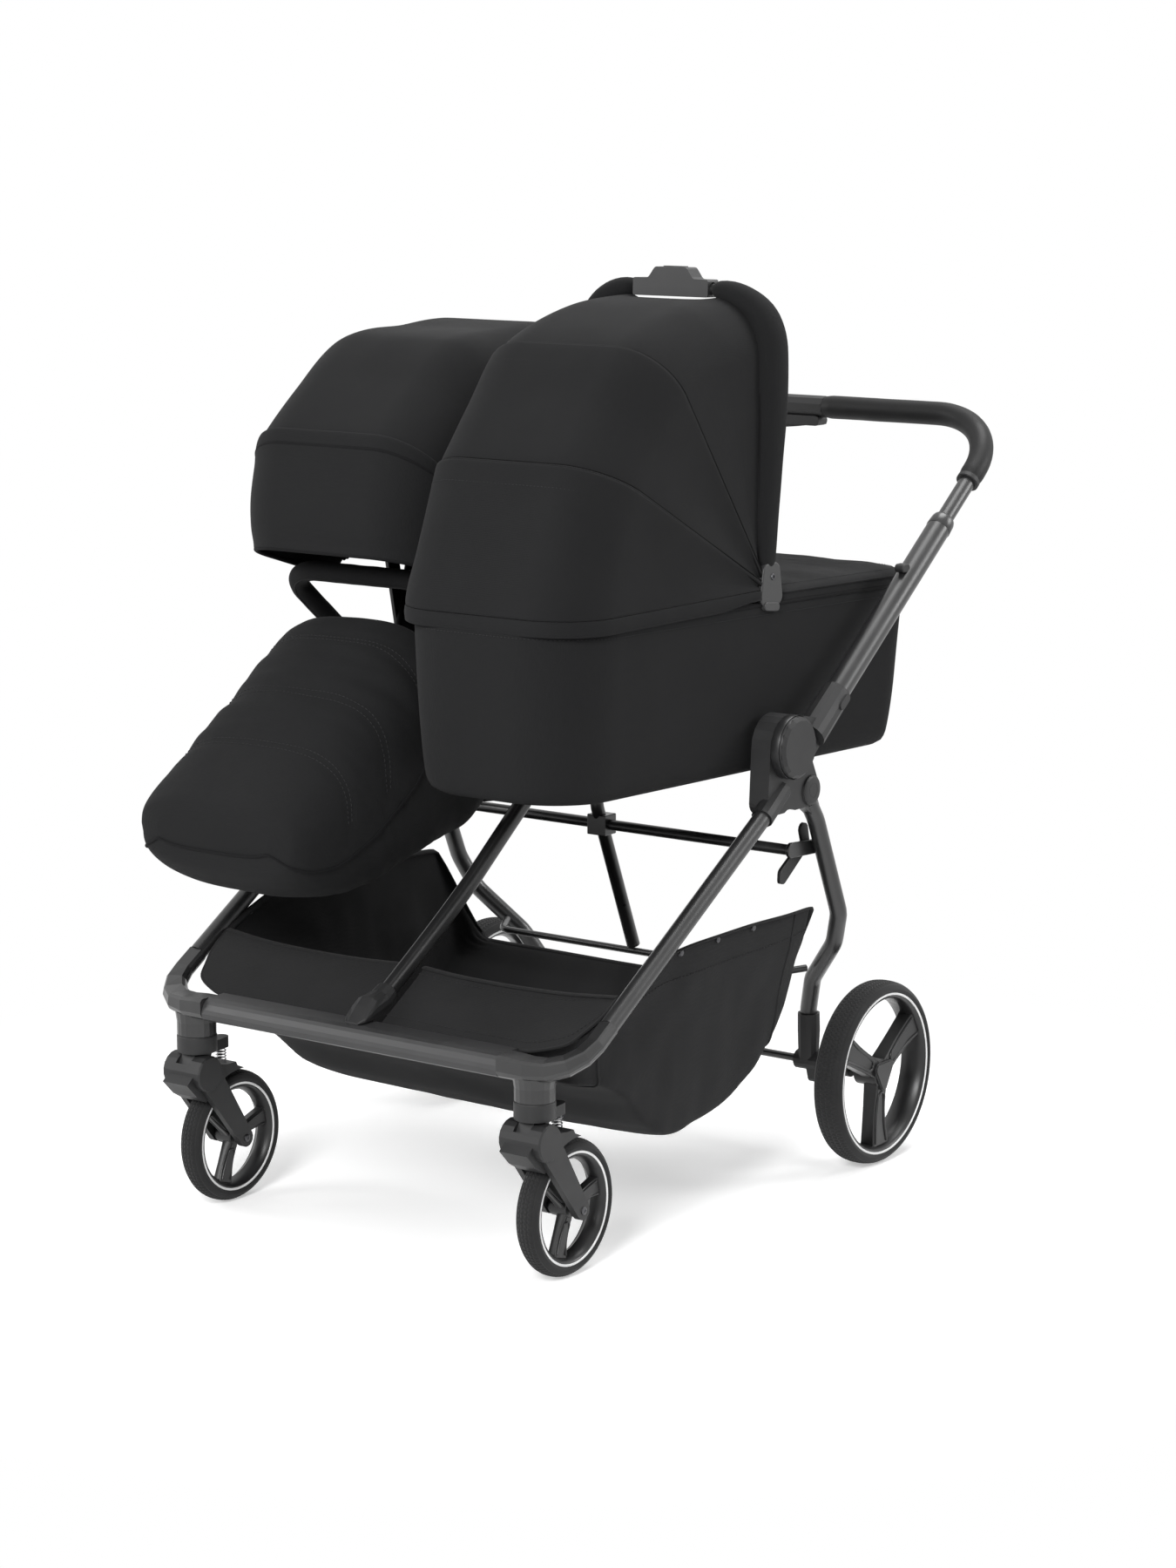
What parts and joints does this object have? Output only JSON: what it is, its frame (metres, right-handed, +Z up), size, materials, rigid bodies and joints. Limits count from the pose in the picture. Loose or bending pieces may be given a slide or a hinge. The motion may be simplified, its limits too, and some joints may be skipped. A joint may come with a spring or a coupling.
{
  "type": "stroller",
  "caption": "Folding side-by-side double stroller with a hooded carrycot, a canopied seat with footmuff, a shopping basket and sprung front casters",
  "frame": {"origin": "bottom centre of the bounding box, on the ground midway between the footmuff's toe and the handle's back", "axes": "+X the pusher's left, the carrycot's side; +Y rearwards to the handle, so the stroller faces -Y; +Z up"},
  "size_m": [0.7444, 1.2907, 1.2595],
  "materials": {
    "frame": "satin",
    "plastic": "matte",
    "grip": "matte",
    "tyre": "matte",
    "fabric": "matte",
    "lining": "matte",
    "steel": "satin"
  },
  "bodies": {
    "frame": {"footboard_bar": "frame", "centre_front_leg": "frame", "centre_leg_foot": "plastic", "centre_hub": "plastic", "basket": "fabric", "carrycot_tub": "fabric", "carrycot_mattress": "lining", "carrycot_apron": "fabric", "carrycot_hood": "fabric", "seat_shell": "lining", "seat_liner": "lining", "seat_harness": "lining", "seat_canopy": "fabric", "footmuff": "fabric", "bumper_bar": "fabric", "front_corner_left": "frame", "front_leg_left": "frame", "hub_housing_left": "plastic", "basket_front_panel_left": "fabric", "front_corner_right": "frame", "front_leg_right": "frame", "hub_housing_right": "plastic", "basket_front_panel_right": "fabric"},
    "handle": {"handle_socket_left": "plastic", "handle_tube_left": "frame", "handle_socket_right": "plastic", "handle_tube_right": "frame"},
    "handle_slide": {"handle_bar": "frame", "handle_grip_left": "grip", "handle_grip_right": "grip", "handle_centre_housing": "plastic"},
    "trigger": {"fold_trigger": "plastic"},
    "rear_frame": {"rear_leg_left": "frame", "rear_leg_right": "frame", "rear_cross_tube": "frame", "centre_rear_leg": "frame", "basket_rear_rim": "frame", "rear_axle": "steel", "rear_wheel_socket_left": "plastic", "rear_wheel_socket_right": "plastic"},
    "brake": {"brake_pedal": "plastic"},
    "clip": {"fold_clip": "plastic"},
    "carry_arch": {"carrycot_handle": "fabric", "carrycot_grip": "plastic"},
    "carry_button": {"grip_button": "plastic"},
    "visor": {"canopy_visor": "fabric"},
    "rear_wheel_left": {"rear_left_tyre": "tyre", "rear_left_rim": "plastic"},
    "caster_left": {"caster_head_left": "plastic", "caster_spring_left": "steel"},
    "fork_left": {"caster_fork_left": "plastic"},
    "front_wheel_left": {"front_left_tyre": "tyre", "front_left_rim": "plastic"},
    "rear_wheel_right": {"rear_right_tyre": "tyre", "rear_right_rim": "plastic"},
    "caster_right": {"caster_head_right": "plastic", "caster_spring_right": "steel"},
    "fork_right": {"caster_fork_right": "plastic"},
    "front_wheel_right": {"front_right_tyre": "tyre", "front_right_rim": "plastic"}
  },
  "joints": [
    {"name": "handle_fold", "type": "hinge", "parent": "frame", "child": "handle", "pos_m": [0, 0.061, 0.632], "axis": [1, 0, 0], "range_deg": [0, 118], "stiffness_Nm_per_rad": 12, "springref_deg": -39.99},
    {"name": "handle_extend", "type": "slide", "parent": "handle", "child": "handle_slide", "axis": [0, 0.8025, 0.5967], "range_m": [-0.055, 0]},
    {"name": "fold_trigger_squeeze", "type": "hinge", "parent": "handle_slide", "child": "trigger", "pos_m": [0.028, 0.629, 1.00427], "axis": [0, 1, 0], "range_deg": [0, 7], "stiffness_Nm_per_rad": 0.12, "springref_deg": -20},
    {"name": "rear_frame_fold", "type": "hinge", "parent": "frame", "child": "rear_frame", "pos_m": [0, 0.119, 0.564], "axis": [1, 0, 0], "range_deg": [-59, 0], "deforming": ["basket"]},
    {"name": "brake_pedal_press", "type": "hinge", "parent": "rear_frame", "child": "brake", "pos_m": [-0.11, 0.3066, 0.13018], "axis": [1, 0, 0], "range_deg": [-20, 0]},
    {"name": "fold_clip_swing", "type": "hinge", "parent": "rear_frame", "child": "clip", "pos_m": [0.3072, 0.16, 0.499], "axis": [1, 0, 0], "range_deg": [0, 30]},
    {"name": "carry_handle_fold", "type": "hinge", "parent": "frame", "child": "carry_arch", "pos_m": [0.162, 0.06103, 0.84009], "axis": [1, 0, 0], "range_deg": [0, 75], "deforming": ["carrycot_hood"]},
    {"name": "grip_button_press", "type": "slide", "parent": "carry_arch", "child": "carry_button", "axis": [0, 0, -1], "range_m": [0, 0.002], "stiffness_N_per_m": 300, "springref_m": -0.003},
    {"name": "canopy_fold", "type": "hinge", "parent": "frame", "child": "visor", "pos_m": [-0.162, 0.001, 0.8], "axis": [1, 0, 0], "range_deg": [-60, 0], "deforming": ["seat_canopy"]},
    {"name": "rear_wheel_spin_left", "type": "hinge", "parent": "rear_frame", "child": "rear_wheel_left", "pos_m": [0.3375, 0.3066, 0.13018], "axis": [1, 0, 0], "continuous": true},
    {"name": "caster_swivel_left", "type": "hinge", "parent": "frame", "child": "caster_left", "pos_m": [0.2815, -0.419, 0.246], "axis": [0, 0, 1], "continuous": true},
    {"name": "fork_spring_left", "type": "hinge", "parent": "caster_left", "child": "fork_left", "pos_m": [0.2815, -0.429, 0.196], "axis": [1, 0, 0], "range_deg": [0, 4], "stiffness_Nm_per_rad": 80, "springref_deg": -10, "deforming": ["caster_spring_left"]},
    {"name": "front_wheel_spin_left", "type": "hinge", "parent": "fork_left", "child": "front_wheel_left", "pos_m": [0.2815, -0.3555, 0.09022], "axis": [1, 0, 0], "continuous": true},
    {"name": "rear_wheel_spin_right", "type": "hinge", "parent": "rear_frame", "child": "rear_wheel_right", "pos_m": [-0.3375, 0.3066, 0.13018], "axis": [1, 0, 0], "continuous": true},
    {"name": "caster_swivel_right", "type": "hinge", "parent": "frame", "child": "caster_right", "pos_m": [-0.2815, -0.419, 0.246], "axis": [0, 0, 1], "continuous": true},
    {"name": "fork_spring_right", "type": "hinge", "parent": "caster_right", "child": "fork_right", "pos_m": [-0.2815, -0.429, 0.196], "axis": [1, 0, 0], "range_deg": [0, 4], "stiffness_Nm_per_rad": 80, "springref_deg": -10, "deforming": ["caster_spring_right"]},
    {"name": "front_wheel_spin_right", "type": "hinge", "parent": "fork_right", "child": "front_wheel_right", "pos_m": [-0.2815, -0.3555, 0.09022], "axis": [1, 0, 0], "continuous": true}
  ],
  "couplings": [
    {"joint": "rear_frame_fold", "follows": "handle_fold", "ratio": -0.5}
  ]
}
